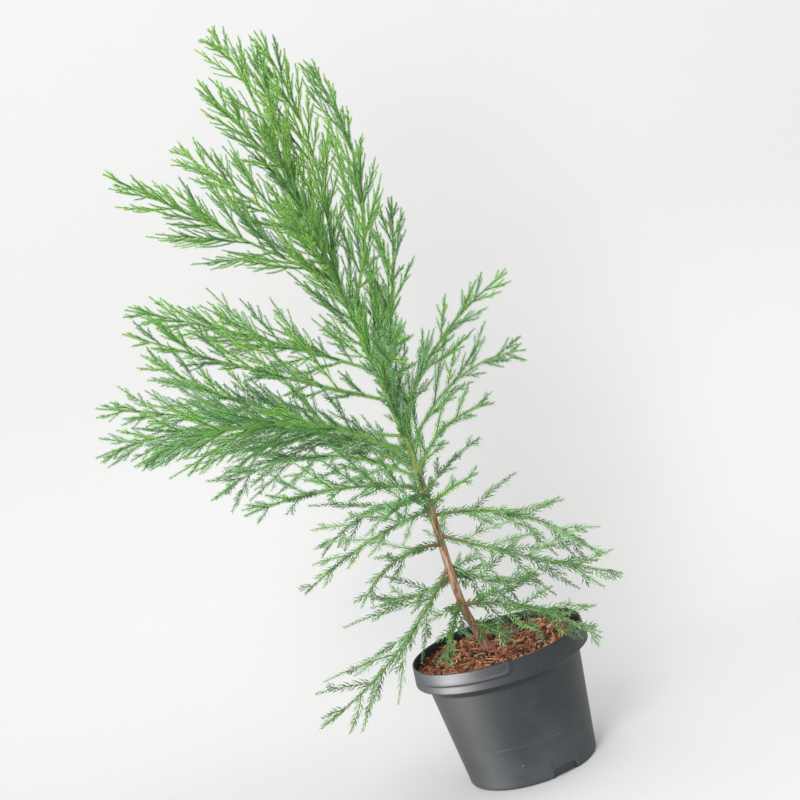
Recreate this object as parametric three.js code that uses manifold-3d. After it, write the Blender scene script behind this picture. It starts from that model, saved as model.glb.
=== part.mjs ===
// A young Japanese cedar in a nursery pot.
// Millimetres, +Z up, with the origin at the centre of the pot's flat underside.

import * as THREE from 'three';
import { mergeVertices } from 'three/addons/utils/BufferGeometryUtils.js';
import loadManifold from 'manifold-3d';

const wasm = await loadManifold();
wasm.setup();

const gap = 0.3; // clear space between neighbouring pieces
const upward = new THREE.Vector3(0, 0, 1);

// Pot
const potHeight = 145;
const rimRadius = 95;
const collarHeight = 23;
const collarFlare = 2; // the collar's lower edge stands out this much past the rim
const wallTopRadius = 85.6;
const footRadius = 71.6;
const footRound = 4;
const wallThickness = 1.8;
const floorThickness = 3;
const potSides = 48;

// Drain channels under the floor, open at the foot
const drainCount = 3;
const drainBearing = -64;
const drainWidth = 30;
const drainHeight = 9;
const drainLength = 46;

// Bark mulch that fills the pot
const mulchDepth = 12; // below the rim
const mulchUneven = 1.6;

// Trunk: centre line from the mulch to the tip, and radii
const groundHeight = potHeight - mulchDepth;
const trunkTopHeight = 752;
const trunkLine = [
  [-11, 15, groundHeight + gap],
  [-24, 9, 196],
  [-26, 4, 290],
  [-29, -1, 380],
  [-41, 0, 492],
  [-54, 0, 600],
  [-68, 0, 705],
  [-81, 0, 800],
  [-98, 0, 852],
];
const trunkFootRadius = 4.8;
const trunkTopRadius = 1.4;
const rootFlare = 1.8;
const rootFlareHeight = 10;
const trunkSides = 8;
const trunkRings = 26;

// Boughs: height of the root on the trunk, compass bearing, rise and bend of the arc in degrees,
// whole length, and the length of bare limb before the foliage begins (0: foliage from the trunk)
const boughs = [
  { name: 'left_1', at: 238, bearing: -161, rise: -31, bend: 31, length: 224, limb: 55 },
  { name: 'left_2', at: 226, bearing: 142, rise: -7, bend: 40, length: 118, limb: 0 },
  { name: 'left_3', at: 262, bearing: -138, rise: -8, bend: -60, length: 140, limb: 0 },
  { name: 'left_4', at: 304, bearing: -161, rise: -13, bend: -23, length: 166, limb: 0 },
  { name: 'left_5', at: 316, bearing: 153, rise: -15, bend: -49, length: 155, limb: 0 },
  { name: 'left_6', at: 328, bearing: -143, rise: 13, bend: -26, length: 232, limb: 45 },
  { name: 'left_7', at: 338, bearing: 153, rise: 6, bend: -66, length: 272, limb: 50 },
  { name: 'left_8', at: 350, bearing: -176, rise: 20, bend: -52, length: 352, limb: 60 },
  { name: 'left_9', at: 362, bearing: -158, rise: 18, bend: -60, length: 322, limb: 55 },
  { name: 'left_10', at: 374, bearing: 170, rise: 23, bend: -7, length: 346, limb: 60 },
  { name: 'left_11', at: 389, bearing: 158, rise: 30, bend: 28, length: 318, limb: 55 },
  { name: 'left_12', at: 430, bearing: -164, rise: 32, bend: 5, length: 294, limb: 45 },
  { name: 'left_13', at: 464, bearing: 166, rise: 29, bend: -7, length: 284, limb: 45 },
  { name: 'left_14', at: 567, bearing: -170, rise: 42, bend: 1, length: 268, limb: 40 },
  { name: 'left_15', at: 611, bearing: 154, rise: 47, bend: 6, length: 195, limb: 30 },
  { name: 'left_16', at: 690, bearing: -155, rise: 61, bend: 4, length: 133, limb: 0 },
  { name: 'right_1', at: 192, bearing: -38, rise: -18, bend: -37, length: 174, limb: 0 },
  { name: 'right_2', at: 240, bearing: 43, rise: -27, bend: 37, length: 138, limb: 0 },
  { name: 'right_3', at: 274, bearing: -15, rise: -26, bend: 8, length: 201, limb: 40 },
  { name: 'right_4', at: 296, bearing: 14, rise: -32, bend: -52, length: 206, limb: 40 },
  { name: 'right_5', at: 309, bearing: -47, rise: 19, bend: -8, length: 90, limb: 0 },
  { name: 'right_6', at: 322, bearing: 33, rise: 20, bend: -24, length: 95, limb: 0 },
  { name: 'right_7', at: 345, bearing: -43, rise: 26, bend: -52, length: 149, limb: 0 },
  { name: 'right_8', at: 368, bearing: 25, rise: 20, bend: -69, length: 192, limb: 40 },
  { name: 'right_9', at: 396, bearing: -15, rise: 40, bend: -41, length: 210, limb: 40 },
  { name: 'right_10', at: 445, bearing: 47, rise: 62, bend: 17, length: 214, limb: 35 },
  { name: 'right_11', at: 532, bearing: -22, rise: 83, bend: 62, length: 282, limb: 40 },
  { name: 'right_12', at: 576, bearing: 30, rise: 91, bend: 36, length: 270, limb: 35 },
  { name: 'right_13', at: 664, bearing: -88, rise: 78, bend: 8, length: 168, limb: 0 },
  { name: 'low_1', at: 168, bearing: -68, rise: -5, bend: -18, length: 100, limb: 0 },
];

// Boughs towards and away from the viewer, in tiers up the trunk
const tiers = [
  { at: 212, rise: -20, bend: -14, length: 108, frontBearing: -109, backBearing: 78 },
  { at: 334, rise: 7, bend: -14, length: 154, frontBearing: -106, backBearing: 106 },
  { at: 456, rise: 28, bend: -4, length: 148, frontBearing: -76, backBearing: 78 },
  { at: 578, rise: 49, bend: 6, length: 140, frontBearing: -106, backBearing: 106 },
];
const frontDrop = 14;
const backLift = 16;

// Foliage
const seed = 11;
const stemTipRadius = 1;
const stemWhorlStep = 31;
const whorlCollar = 6.5; // length of core under a whorl of needles
const sideWhorlStep = 27;
const sideRadius = 1.35;
const sideBareShare = 0.22;
const sideTipRadius = 0.8;
const sideShare = 0.34; // longest side shoot as a share of its stem
const sideLongest = 100;
const sideShortest = 34;
const sideUpperBias = 0.3; // a stem's upper shoots are longer by this share, its lower ones shorter
const sideTipShare = 0.62; // most of the stem above a side shoot's root that the shoot runs beside
const sideTipLeast = 12;
const sideTurn = 137.5; // degrees round the stem from one shoot to the next
const needleLengthLow = 25;
const needleLengthHigh = 19;
const needleSpreadLow = 36;
const needleSpreadHigh = 21;

const radians = THREE.MathUtils.degToRad;
const { lerp, clamp } = THREE.MathUtils;

// A repeatable number from 0 to 1 for each pair of values.
function chance(first, second) {
  const value = Math.sin(first * 12.9898 + second * 78.233) * 43758.5453;
  return value - Math.floor(value);
}

function solidFrom(geometry) {
  const plain = geometry.clone();
  plain.deleteAttribute('normal');
  plain.deleteAttribute('uv');
  const welded = mergeVertices(plain, 1e-4);
  const corners = welded.index.array;
  const triangles = [];
  for (let i = 0; i < corners.length; i += 3) {
    const [a, b, c] = corners.slice(i, i + 3);
    if (a !== b && b !== c && c !== a) {
      triangles.push(a, b, c);
    }
  }
  return new wasm.Manifold(new wasm.Mesh({
    numProp: 3,
    vertProperties: new Float32Array(welded.attributes.position.array),
    triVerts: new Uint32Array(triangles),
  }));
}

// The largest connected piece, so that loose scraps and sealed hollows go.
function largestPiece(solid) {
  const pieces = solid.decompose();
  return pieces.reduce((best, piece) => (piece.volume() > best.volume() ? piece : best));
}

function geometryFrom(solid) {
  const mesh = solid.getMesh();
  const geometry = new THREE.BufferGeometry();
  geometry.setAttribute('position', new THREE.BufferAttribute(new Float32Array(mesh.vertProperties), 3));
  geometry.setIndex(new THREE.BufferAttribute(new Uint32Array(mesh.triVerts), 1));
  geometry.computeVertexNormals();
  return geometry;
}

// A turned solid from [radius, height] pairs that start and end on the axis.
function turned(profile) {
  const points = profile.map(([radius, height]) => new THREE.Vector2(radius, height));
  return new THREE.LatheGeometry(points, potSides).rotateX(Math.PI / 2);
}

// Pot: one wall that steps out to a collar, on a floor with drain channels
const collarFoot = potHeight - collarHeight;
const collarRadius = rimRadius + collarFlare;

function potProfile() {
  const inner = wallThickness;
  return [
    [0, 0],
    [footRadius - footRound, 0],
    [footRadius - footRound * 0.3, footRound * 0.3],
    [footRadius, footRound],
    [wallTopRadius, collarFoot],
    [collarRadius - 1.5, collarFoot],
    [collarRadius, collarFoot + 1.5],
    [rimRadius, potHeight - 0.8],
    [rimRadius - 0.8, potHeight],
    [rimRadius - inner, potHeight],
    [collarRadius - inner - 0.4, collarFoot + inner],
    [wallTopRadius - inner, collarFoot + inner],
    [footRadius - inner, floorThickness],
    [0, floorThickness],
  ];
}

// A block along a bearing, from the drain's inner end out past the foot.
function drainBlock(index, margin) {
  const bearing = radians(drainBearing + (360 / drainCount) * index);
  const outer = footRadius + 12;
  const inner = footRadius - drainLength - margin;
  const height = drainHeight + margin + 10;
  const block = new THREE.BoxGeometry(outer - inner, drainWidth + 2 * margin, height);
  block.translate((outer + inner) / 2, 0, height / 2 - 10);
  return solidFrom(block.rotateZ(bearing));
}

function makePot() {
  const outline = potProfile();
  const envelope = outline.slice(0, 5).concat([[0, collarFoot]]);
  const outside = solidFrom(turned(envelope));
  let pot = solidFrom(turned(outline));
  for (let i = 0; i < drainCount; i += 1) {
    pot = pot.add(drainBlock(i, wallThickness).intersect(outside));
  }
  for (let i = 0; i < drainCount; i += 1) {
    pot = pot.subtract(drainBlock(i, 0));
  }
  return largestPiece(pot);
}

// Mulch: fills the pot up to a slightly uneven top, level round the trunk's foot
function makeMulch() {
  const inset = wallThickness + gap * 1.4;
  const profile = [
    [0, floorThickness + gap],
    [footRadius - inset, floorThickness + gap],
    [wallTopRadius - inset, collarFoot + wallThickness + gap],
    [collarRadius - inset - 0.4, collarFoot + wallThickness + gap],
    [lerp(collarRadius, rimRadius, 0.45) - inset - 0.4, groundHeight],
    [44, groundHeight],
    [0, groundHeight],
  ];
  const geometry = turned(profile);
  const places = geometry.attributes.position;
  for (let i = 0; i < places.count; i += 1) {
    const radius = Math.hypot(places.getX(i), places.getY(i));
    const onTop = places.getZ(i) > groundHeight - 0.01;
    if (onTop && radius > 60) {
      const angle = Math.round(Math.atan2(places.getY(i), places.getX(i)) * 1000);
      const turn = angle === -3142 ? 3142 : angle;
      places.setZ(i, groundHeight - mulchUneven * chance(turn * 0.01, Math.round(radius)));
    }
  }
  let mulch = solidFrom(geometry);
  for (let i = 0; i < drainCount; i += 1) {
    mulch = mulch.subtract(drainBlock(i, wallThickness + gap));
  }
  return largestPiece(mulch);
}

// Trunk
const trunkPoints = trunkLine.map((point) => new THREE.Vector3(...point));
const trunkCurve = new THREE.CatmullRomCurve3(trunkPoints, false, 'catmullrom', 0.5);

function trunkParameter(height) {
  let low = 0;
  let high = 1;
  for (let i = 0; i < 40; i += 1) {
    const middle = (low + high) / 2;
    if (trunkCurve.getPoint(middle).z < height) {
      low = middle;
    } else {
      high = middle;
    }
  }
  return (low + high) / 2;
}

function trunkRadius(height) {
  const above = Math.max(height - groundHeight, 0);
  const taper = lerp(trunkFootRadius, trunkTopRadius, above / (trunkTopHeight - groundHeight));
  return taper + rootFlare * Math.exp(-above / rootFlareHeight);
}

// Ring frames along a curve: centre, tangent, and two cross directions, the second kept near a fixed one.
function framesAlong(curve, parameters, steady) {
  return parameters.map((t) => {
    const centre = curve.getPoint(t);
    const tangent = curve.getTangent(t);
    const across = steady.clone().cross(tangent).normalize();
    return { centre, tangent, across, beside: tangent.clone().cross(across) };
  });
}

function ringPoint(frame, radius, angle) {
  return frame.centre.clone()
    .addScaledVector(frame.across, radius * Math.cos(angle))
    .addScaledVector(frame.beside, radius * Math.sin(angle));
}

function triangleGeometry(triangles) {
  const geometry = new THREE.BufferGeometry();
  const points = triangles.flat();
  const numbers = points.flatMap((point) => [point.x, point.y, point.z]);
  geometry.setAttribute('position', new THREE.Float32BufferAttribute(numbers, 3));
  return geometry;
}

// A closed tapering limb along a curve: rings of equal sides, and a flat fan at each end.
function limb(curve, parameters, radiusAt, sides, steady, flatFoot = false) {
  const frames = framesAlong(curve, parameters, steady);
  if (flatFoot) {
    Object.assign(frames[0], {
      across: new THREE.Vector3(1, 0, 0),
      beside: new THREE.Vector3(0, 1, 0),
    });
  }
  const rings = frames.map((frame, row) => Array.from({ length: sides }, (_, i) => (
    ringPoint(frame, radiusAt(parameters[row], frame.centre.z), (2 * Math.PI * i) / sides))));
  const triangles = [];
  const first = rings[0];
  const last = rings[rings.length - 1];
  for (let i = 0; i < sides; i += 1) {
    const next = (i + 1) % sides;
    for (let row = 0; row + 1 < rings.length; row += 1) {
      const below = rings[row];
      const above = rings[row + 1];
      triangles.push([below[i], below[next], above[next]], [below[i], above[next], above[i]]);
    }
    triangles.push([frames[0].centre, first[next], first[i]]);
    triangles.push([frames[frames.length - 1].centre, last[i], last[next]]);
  }
  return solidFrom(triangleGeometry(triangles));
}

const trunkEnd = trunkParameter(trunkTopHeight);

function makeTrunk(margin) {
  const parameters = Array.from({ length: trunkRings }, (_, i) => (
    trunkEnd * (i / (trunkRings - 1)) ** 1.35));
  const radiusAt = (t, height) => trunkRadius(height) + margin;
  return limb(trunkCurve, parameters, radiusAt, trunkSides, new THREE.Vector3(0, 1, 0), true);
}

// An arc in an upright plane: its rise turns evenly from one end to the other.
class BoughCurve extends THREE.Curve {
  constructor(root, bough) {
    super();
    this.root = root;
    this.bearing = radians(bough.bearing);
    this.bend = radians(bough.bend);
    this.startRise = radians(bough.rise) - this.bend / 2;
    this.length = bough.length;
  }

  getPoint(t, target = new THREE.Vector3()) {
    const rise = this.startRise + this.bend * t;
    const scale = this.length / this.bend;
    const out = scale * (Math.sin(rise) - Math.sin(this.startRise));
    const up = scale * (Math.cos(this.startRise) - Math.cos(rise));
    target.set(out * Math.cos(this.bearing), out * Math.sin(this.bearing), up);
    return target.add(this.root);
  }
}

// The part of a curve between two of its parameters.
class CurvePart extends THREE.Curve {
  constructor(curve, start, end) {
    super();
    Object.assign(this, { curve, start, end });
  }

  getPoint(t, target = new THREE.Vector3()) {
    return this.curve.getPoint(lerp(this.start, this.end, t), target);
  }
}

// The core of a needled shoot: a three-sided strand with close pairs of rings, turned by a sixth, that
// leave six small faces for a whorl of needles. It starts on a given face, or on a cap of its own.
function shootCore(curve, length, size, rootFace, turnOf) {
  const parameters = rootFace ? [] : [0];
  for (let i = 0; i < size.whorls; i += 1) {
    const start = lerp(size.bareShare, 0.97, i / size.whorls);
    parameters.push(start, start + whorlCollar / length);
  }
  const frames = framesAlong(curve, parameters, size.beside);
  const rings = frames.map((frame, row) => {
    const whorl = Math.floor((row - (rootFace ? 0 : 1)) / 2);
    const second = (row - (rootFace ? 0 : 1)) % 2 === 1;
    const turn = turnOf(Math.max(whorl, 0), frames) + (second ? Math.PI / 3 : 0);
    const radius = lerp(size.rootRadius, size.tipRadius, parameters[row]);
    return [0, 1, 2].map((i) => ringPoint(frame, radius, turn + (2 * Math.PI * i) / 3));
  });
  if (rootFace) {
    rings.unshift(rootFace);
    frames.unshift(frames[0]);
  }
  const cap = [rings[0][0], rings[0][2], rings[0][1]];
  const plain = [];
  const sockets = [];
  const last = rings[rings.length - 1];
  const end = curve.getPoint(1);
  for (let row = 0; row + 1 < rings.length; row += 1) {
    const faces = row % 2 === 1 ? sockets : plain;
    for (let i = 0; i < 3; i += 1) {
      const next = (i + 1) % 3;
      const leading = [rings[row][i], rings[row][next], rings[row + 1][i]];
      const trailing = [rings[row + 1][i], rings[row][next], rings[row + 1][next]];
      if (row % 2 === 1) {
        faces.push({ corners: leading, frame: frames[row], whorl: (row - 1) / 2, main: i === 0 });
        faces.push({ corners: trailing, frame: frames[row], whorl: (row - 1) / 2, main: false });
      } else {
        faces.push(leading, trailing);
      }
    }
  }
  for (let i = 0; i < 3; i += 1) {
    plain.push([last[i], last[(i + 1) % 3], end]);
  }
  return { cap, plain, sockets };
}

// A needle: a slim spike raised forwards and outwards on one small face.
function needleOn(socket, needle) {
  const [a, b, c] = socket.corners;
  const { tangent, centre } = socket.frame;
  const tip = a.clone().add(b).add(c).divideScalar(3);
  const outward = tip.clone().sub(centre);
  outward.addScaledVector(tangent, -outward.dot(tangent)).normalize();
  tip.addScaledVector(tangent, needle.length * Math.cos(needle.spread));
  tip.addScaledVector(outward, needle.length * Math.sin(needle.spread));
  return [[a, b, tip], [b, c, tip], [c, a, tip]];
}

// The direction that stands square off a stem at an angle round it, 0 being the upper side.
function squareOff(tangent, beside, angle) {
  const above = beside.clone().cross(tangent);
  return above.multiplyScalar(Math.cos(angle)).addScaledVector(beside, Math.sin(angle));
}

function needleAt(height) {
  const share = clamp((height - groundHeight) / (trunkTopHeight - groundHeight), 0, 1);
  return {
    length: lerp(needleLengthLow, needleLengthHigh, share),
    spread: radians(lerp(needleSpreadLow, needleSpreadHigh, share)),
  };
}

// Side shoots stand spirally up the stem, one to a whorl, leave it forwards and turn to the light.
function sideAngle(number, whorl) {
  return radians(sideTurn * whorl + 40 * chance(seed + number, whorl + 50) + 60 * number);
}

function sideCurve(mass, root, t, whorl) {
  const { stem, number } = mass;
  const tangent = stem.getTangent(t);
  const leave = radians(lerp(52, 36, t));
  const longest = clamp(mass.length * sideShare, sideShortest, sideLongest);
  const angle = sideAngle(number, whorl);
  const vigour = (0.85 + 0.3 * chance(seed + number, whorl + 90)) * (1 + sideUpperBias * Math.cos(angle));
  const room = sideTipShare * mass.length * (1 - t) + sideTipLeast;
  const length = Math.min(longest * (1 - 0.5 * t) * vigour, room);
  const outward = squareOff(tangent, mass.beside, angle);
  const start = tangent.clone().multiplyScalar(Math.cos(leave)).addScaledVector(outward, Math.sin(leave));
  const lift = tangent.z > 0.1 ? 0.45 : 0.05;
  const finish = start.clone().addScaledVector(tangent, 0.5).addScaledVector(upward, lift).normalize();
  const middle = root.clone().addScaledVector(start, length / 2);
  const tip = middle.clone().addScaledVector(finish, length / 2);
  return { curve: new THREE.QuadraticBezierCurve3(root, middle, tip), length };
}

const potSolid = makePot();
const mulchSolid = makeMulch();
const trunkSolid = makeTrunk(0);
const trunkClear = makeTrunk(gap);

const tierBoughs = tiers.flatMap((tier, i) => [
  { ...tier, name: `back_${i + 1}`, at: tier.at + backLift, bearing: tier.backBearing, limb: 0 },
  { ...tier, name: `front_${i + 1}`, at: tier.at - frontDrop, bearing: tier.frontBearing, limb: 0 },
]);

// Each mass: its stem's curve and core, the limb that carries it, and the side shoots it keeps
const masses = [];

function addMass(name, stem, length, beside, rootRadius, limbSolid, onTrunk) {
  const number = masses.length;
  const size = {
    whorls: Math.max(3, Math.round(length / stemWhorlStep)),
    bareShare: onTrunk ? 0.13 : 0.04,
    rootRadius,
    tipRadius: stemTipRadius,
    beside,
  };
  const turnOf = (whorl) => sideAngle(number, whorl) - Math.PI / 3;
  const core = shootCore(stem, length, size, null, turnOf);
  const needle = needleAt(stem.getPoint(0.5).z);
  masses.push({ name, number, stem, length, beside, size, limbSolid, onTrunk, core, needle, shoots: [] });
}

for (const bough of boughs.concat(tierBoughs)) {
  const root = trunkCurve.getPoint(trunkParameter(bough.at));
  const curve = new BoughCurve(root, bough);
  const bearing = radians(bough.bearing);
  const beside = new THREE.Vector3(Math.sin(bearing), -Math.cos(bearing), 0);
  const rootRadius = clamp(trunkRadius(bough.at) * 0.55, 1.5, 2.6);
  if (bough.limb > 0) {
    const share = bough.limb / bough.length;
    const endRadius = rootRadius * 0.75;
    const parameters = [0, 0.35, 0.7, 1].map((step) => step * share);
    const radiusAt = (t) => lerp(rootRadius, endRadius, t / share);
    const limbSolid = largestPiece(limb(curve, parameters, radiusAt, 5, beside).subtract(trunkClear));
    const stem = new CurvePart(curve, share + gap / bough.length, 1);
    addMass(bough.name, stem, bough.length - bough.limb, beside, endRadius, limbSolid, false);
  } else {
    addMass(bough.name, curve, bough.length, beside, rootRadius, null, true);
  }
}
const leaderLength = 104;
const leaderStem = new CurvePart(trunkCurve, trunkEnd + 0.0004, 1);
addMass('leader', leaderStem, leaderLength, new THREE.Vector3(0, 1, 0), trunkTopRadius, null, false);

// The stem of a mass with its needles, and plain faces where side shoots may stand.
function stemTriangles(mass, sprouting) {
  const { cap, plain, sockets } = mass.core;
  const dressed = sockets.flatMap((socket) => {
    if (sprouting(socket)) {
      return [];
    }
    return socket.main && !mass.grown ? [socket.corners] : needleOn(socket, mass.needle);
  });
  return [cap, ...plain, ...dressed];
}

function clearOfTrunk(mass, triangles) {
  const solid = solidFrom(triangleGeometry(triangles));
  return mass.onTrunk ? largestPiece(solid.subtract(trunkClear)) : solid;
}

function boxesNear(a, b) {
  return a.min.every((low, i) => low < b.max[i] + gap && b.min[i] < a.max[i] + gap);
}

const taken = [potSolid, mulchSolid, trunkSolid]
  .concat(masses.map((mass) => mass.limbSolid).filter(Boolean))
  .map((solid) => ({ solid, box: solid.boundingBox(), number: -1 }));
for (const mass of masses) {
  const solid = clearOfTrunk(mass, stemTriangles(mass, () => false));
  mass.stemSolid = solid;
  taken.push({ solid, box: solid.boundingBox(), number: mass.number, isStem: true });
}

// A side shoot is kept where it touches nothing but the face of its own stem that it grows from.
function isClear(solid, mass) {
  const box = solid.boundingBox();
  return taken.every((other) => {
    if (!boxesNear(box, other.box)) {
      return true;
    }
    if (other.isStem && other.number === mass.number) {
      return solid.intersect(other.solid).volume() < 0.001;
    }
    return solid.minGap(other.solid, 1) > gap;
  });
}

function growSideShoot(mass, socket) {
  const [a, b, c] = socket.corners;
  const root = a.clone().add(b).add(c).divideScalar(3);
  const t = lerp(mass.size.bareShare, 0.97, socket.whorl / mass.size.whorls);
  const { curve, length } = sideCurve(mass, root, t, socket.whorl);
  const size = {
    whorls: Math.max(1, Math.round(length / sideWhorlStep)),
    bareShare: sideBareShare,
    rootRadius: sideRadius,
    tipRadius: sideTipRadius,
    beside: mass.beside.clone().cross(curve.getTangent(0)).cross(curve.getTangent(0)).negate().normalize(),
  };
  const turnOf = (whorl, frames) => {
    const toCorner = a.clone().sub(root);
    const angle = Math.atan2(toCorner.dot(frames[0].beside), toCorner.dot(frames[0].across));
    return angle + Math.PI / 3 + (Math.PI / 2) * whorl;
  };
  const core = shootCore(curve, length, size, socket.corners, turnOf);
  const triangles = core.plain.concat(core.sockets.flatMap((place) => needleOn(place, mass.needle)));
  const solid = solidFrom(triangleGeometry([core.cap, ...triangles]));
  if (isClear(solid, mass)) {
    mass.shoots.push({ socket, triangles });
    taken.push({ solid, box: solid.boundingBox(), number: mass.number, isStem: false });
  }
}

const mostWhorls = Math.max(...masses.map((mass) => mass.size.whorls));
for (let whorl = 0; whorl < mostWhorls; whorl += 1) {
  for (const mass of masses) {
    const socket = mass.core.sockets.find((place) => place.main && place.whorl === whorl);
    if (socket) {
      growSideShoot(mass, socket);
    }
  }
}

function massSolid(mass) {
  const sprouts = new Set(mass.shoots.map((shoot) => shoot.socket));
  mass.grown = true;
  const stem = stemTriangles(mass, (socket) => sprouts.has(socket));
  return clearOfTrunk(mass, stem.concat(mass.shoots.flatMap((shoot) => shoot.triangles)));
}

const potMaterial = new THREE.MeshStandardMaterial({ color: 0x3a3f42, roughness: 0.55, metalness: 0 });
const mulchMaterial = new THREE.MeshStandardMaterial({ color: 0x6b3a26, roughness: 0.95, metalness: 0 });
const barkMaterial = new THREE.MeshStandardMaterial({ color: 0x8a5a40, roughness: 0.85, metalness: 0 });
const twigMaterial = new THREE.MeshStandardMaterial({ color: 0x7a7a44, roughness: 0.8, metalness: 0 });
const needleMaterial = new THREE.MeshStandardMaterial({ color: 0x4c8a3c, roughness: 0.6, metalness: 0 });

const cedar = new THREE.Group();

function place(name, solid, material) {
  const mesh = new THREE.Mesh(geometryFrom(solid), material.clone());
  mesh.name = name;
  cedar.add(mesh);
}

place('pot', potSolid, potMaterial);
place('mulch', mulchSolid, mulchMaterial);
place('trunk', trunkSolid, barkMaterial);
for (const mass of masses) {
  if (mass.limbSolid) {
    place(`bough_${mass.name}`, mass.limbSolid, twigMaterial);
  }
  place(`foliage_${mass.name}`, massSolid(mass), needleMaterial);
}

export default cedar;
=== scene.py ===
import math

import bmesh
import bpy
import numpy as np
from mathutils import Matrix, Vector


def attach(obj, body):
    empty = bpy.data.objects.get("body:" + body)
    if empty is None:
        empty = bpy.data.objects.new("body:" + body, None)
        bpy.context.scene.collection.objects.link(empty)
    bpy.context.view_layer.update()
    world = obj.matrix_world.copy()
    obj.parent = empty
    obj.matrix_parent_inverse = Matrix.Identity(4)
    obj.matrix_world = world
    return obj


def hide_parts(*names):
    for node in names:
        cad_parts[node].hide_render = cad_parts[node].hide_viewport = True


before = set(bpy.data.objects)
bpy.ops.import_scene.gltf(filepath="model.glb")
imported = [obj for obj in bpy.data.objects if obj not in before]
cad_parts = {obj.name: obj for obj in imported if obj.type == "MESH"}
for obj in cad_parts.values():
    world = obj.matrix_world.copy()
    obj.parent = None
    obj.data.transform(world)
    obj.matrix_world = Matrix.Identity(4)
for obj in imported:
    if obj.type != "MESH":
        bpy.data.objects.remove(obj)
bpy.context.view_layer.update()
mm = 0.001
goldenTurn = 137.5  # degrees round a stem from one shoot or needle to the next
upward = np.array([0.0, 0, 1])
rng = np.random.default_rng(23)
print("frame loaded")

# Camera: it stands in front of the plant, looks slightly down and is rolled, so the pot leans in the picture
camera = {
    "aim": (-23 * mm, 0, 427.5 * mm), "distance": 2133 * mm,
    "elevation": 7.85, "roll": -17.1,
    "sensorWidth": 36, "focalShare": 2.5,  # focal length over sensor width
    "clipEnd": 50,
}


def addCamera(spec):  # level axes, turned about the line of sight and moved back along it
    elevation, roll = math.radians(spec["elevation"]), math.radians(spec["roll"])
    back = Vector((0, -math.cos(elevation), math.sin(elevation)))
    level = Vector((1, 0, 0))
    lift = level.cross(-back)
    right = math.cos(roll) * level + math.sin(roll) * lift
    up = -math.sin(roll) * level + math.cos(roll) * lift
    data = bpy.data.cameras.new("camera")
    data.sensor_width = spec["sensorWidth"]
    data.lens = spec["sensorWidth"] * spec["focalShare"]
    data.clip_end = spec["clipEnd"]
    item = bpy.data.objects.new("camera", data)
    bpy.context.scene.collection.objects.link(item)
    turn = Matrix((right, up, back)).transposed().to_4x4()
    item.matrix_world = Matrix.Translation(Vector(spec["aim"]) + spec["distance"] * back) @ turn
    bpy.context.scene.camera = item


addCamera(camera)


# Shader maths: a socket that takes part in Python expressions
class Value:
    def __init__(self, tree, socket):
        self.tree = tree
        self.socket = socket

    def maths(self, operation, first, second):
        node = self.tree.nodes.new("ShaderNodeMath")
        node.operation = operation
        for place, item in enumerate((first, second)):
            if isinstance(item, Value):
                self.tree.links.new(item.socket, node.inputs[place])
            else:
                node.inputs[place].default_value = item
        return Value(self.tree, node.outputs[0])

    def __add__(self, other):
        return self.maths("ADD", self, other)

    def __radd__(self, other):
        return self.maths("ADD", other, self)

    def __sub__(self, other):
        return self.maths("SUBTRACT", self, other)

    def __rsub__(self, other):
        return self.maths("SUBTRACT", other, self)

    def __mul__(self, other):
        return self.maths("MULTIPLY", self, other)

    def __rmul__(self, other):
        return self.maths("MULTIPLY", other, self)


# A finish: one material, its shader and the nodes that feed it
class Finish:
    socketNames = {
        "colour": "Base Color", "roughness": "Roughness", "normal": "Normal",
        "specular": "Specular IOR Level",
    }

    def __init__(self, name, roughness):
        self.material = bpy.data.materials.new(name)
        self.material.use_nodes = True
        self.tree = self.material.node_tree
        self.shader = self.tree.nodes["Principled BSDF"]
        self.shader.inputs["Roughness"].default_value = roughness

    def node(self, kind, settings=None, sockets=None, output=0):  # settings first, then values or links
        node = self.tree.nodes.new(kind)
        for key, item in (settings or {}).items():
            if key == "stops":
                ramp = node.color_ramp
                while len(ramp.elements) < len(item):
                    ramp.elements.new(0.5)
                for stop, (place, colour) in zip(ramp.elements, item):
                    stop.position, stop.color = place, (*colour, 1)
            else:
                setattr(node, key, item)
        for key, item in (sockets or {}).items():
            self.feed(node.inputs[key], item)
        return Value(self.tree, node.outputs[output])

    def feed(self, socket, item):  # a link from a value, or a constant
        if isinstance(item, Value):
            self.tree.links.new(item.socket, socket)
        elif isinstance(item, tuple) and len(item) == 3 and socket.type == "RGBA":
            socket.default_value = (*item, 1)
        else:
            socket.default_value = item

    def set(self, **sockets):
        for key, item in sockets.items():
            self.feed(self.shader.inputs[self.socketNames[key]], item)
        return self.material

    def place(self):
        return self.node("ShaderNodeTexCoord", output="Object")

    def height(self):
        return self.node("ShaderNodeSeparateXYZ", {}, {"Vector": self.place()}, output="Z")

    def stretched(self, scale):
        return self.node("ShaderNodeMapping", {}, {"Vector": self.place(), "Scale": scale})

    def noise(self, scale, detail, rough=0.55, vector=None):
        sockets = {"Vector": vector or self.place(), "Scale": scale, "Detail": detail, "Roughness": rough}
        return self.node("ShaderNodeTexNoise", {}, sockets)

    def ramp(self, value, *stops):
        return self.node("ShaderNodeValToRGB", {"stops": stops}, {"Fac": value})

    def band(self, value, low, high):  # 0 below low, 1 above high, smooth between
        sockets = {"Value": value, "From Min": low, "From Max": high}
        return self.node("ShaderNodeMapRange", {"interpolation_type": "SMOOTHSTEP"}, sockets)

    def mix(self, share, first, second):  # sockets 6 and 7 are the two colours, output 2 the mixed one
        sockets = {0: share, 6: first, 7: second}
        return self.node("ShaderNodeMix", {"data_type": "RGBA"}, sockets, output=2)

    def bump(self, height, distance, strength):
        sockets = {"Height": height, "Distance": distance, "Strength": strength}
        return self.node("ShaderNodeBump", {}, sockets)


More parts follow.
